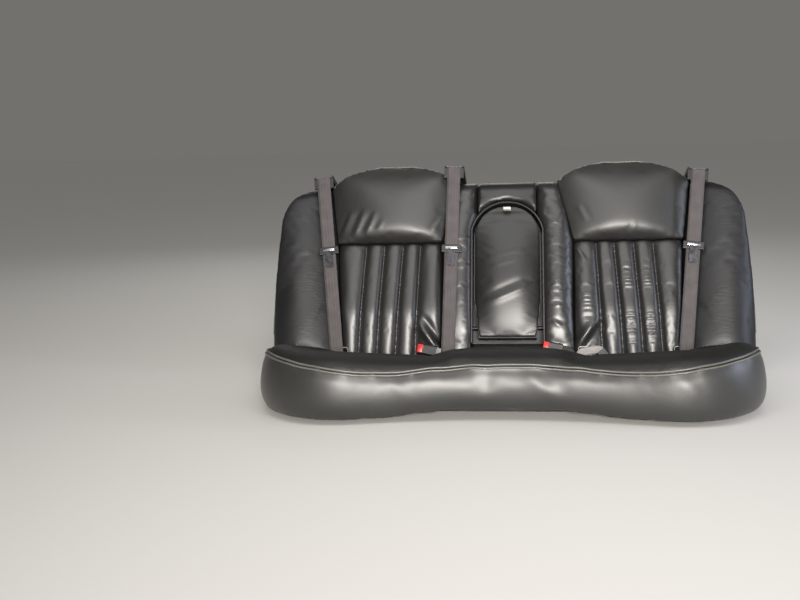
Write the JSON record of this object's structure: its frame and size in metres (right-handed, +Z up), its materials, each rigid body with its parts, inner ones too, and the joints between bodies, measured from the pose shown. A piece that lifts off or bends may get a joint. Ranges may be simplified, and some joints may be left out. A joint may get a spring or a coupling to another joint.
{
  "type": "rear bench seat",
  "caption": "Wide leather rear bench seat with a bowed cushion, fluted outer places, fold-down centre armrest, belts with sliding tongues, buckles and child-seat loops.",
  "frame": {"origin": "centre of the four floor bolts, at the underside of the feet", "axes": "+X across the seat, towards the right of someone who looks at its front; -Y the way a passenger faces; +Z up"},
  "size_m": [1.464, 0.8879, 0.633],
  "materials": {
    "leather": "satin",
    "fluted_leather": "satin",
    "armrest_leather": "satin",
    "liner_plastic": "matte",
    "trim_plastic": "satin",
    "board": "matte",
    "frame_steel": "satin black",
    "pan_steel": "satin black",
    "webbing": "woven",
    "pale_webbing": "woven",
    "tongue_steel": "plated",
    "pin_steel": "bright",
    "zinc": "yellow passivated",
    "red_plastic": "semi-gloss",
    "pull_tab": "woven"
  },
  "bodies": {
    "seat": {"base_frame": "frame_steel", "foot_plates": "frame_steel", "seat_pan": "pan_steel", "cushion_nose": "leather", "cushion_middle": "leather", "cushion_skirt": "leather", "cushion_side_left": "leather", "cushion_side_right": "leather", "cushion_flutes_left": "fluted_leather", "cushion_flutes_right": "fluted_leather", "back_board": "board", "back_frame": "frame_steel", "crest_pad": "leather", "sill_pad": "leather", "head_pad_left": "leather", "head_pad_right": "leather", "back_flutes_left": "fluted_leather", "back_flutes_right": "fluted_leather", "wing_left": "leather", "wing_right": "leather", "inner_bolster_left": "leather", "inner_bolster_right": "leather", "belt_left": "webbing", "belt_middle": "webbing", "belt_right": "webbing", "belt_stops": "trim_plastic", "belt_guides": "trim_plastic", "retractors": "trim_plastic", "belt_anchors": "frame_steel", "buckles": "trim_plastic", "buckle_buttons": "red_plastic", "buckle_straps": "pale_webbing", "child_anchors": "zinc", "armrest_well": "liner_plastic"},
    "armrest": {"armrest_core": "liner_plastic", "armrest_pad": "armrest_leather", "armrest_pin": "pin_steel", "armrest_pull": "pull_tab"},
    "tongue_left": {"tongue_left": "tongue_steel"},
    "tongue_middle": {"tongue_middle": "tongue_steel"},
    "tongue_right": {"tongue_right": "tongue_steel"}
  },
  "joints": [
    {"name": "armrest_fold", "type": "hinge", "parent": "seat", "child": "armrest", "pos_m": [0, 0.20627, 0.13484], "axis": [1, 0, 0], "range_deg": [0, 102]},
    {"name": "tongue_left_slide", "type": "slide", "parent": "seat", "child": "tongue_left", "axis": [-0.1037, 0.3485, 0.9315], "range_m": [0, 0.15]},
    {"name": "tongue_middle_slide", "type": "slide", "parent": "seat", "child": "tongue_middle", "axis": [0.0276, 0.3513, 0.9359], "range_m": [0, 0.15]},
    {"name": "tongue_right_slide", "type": "slide", "parent": "seat", "child": "tongue_right", "axis": [0.1037, 0.3485, 0.9315], "range_m": [0, 0.15]}
  ]
}
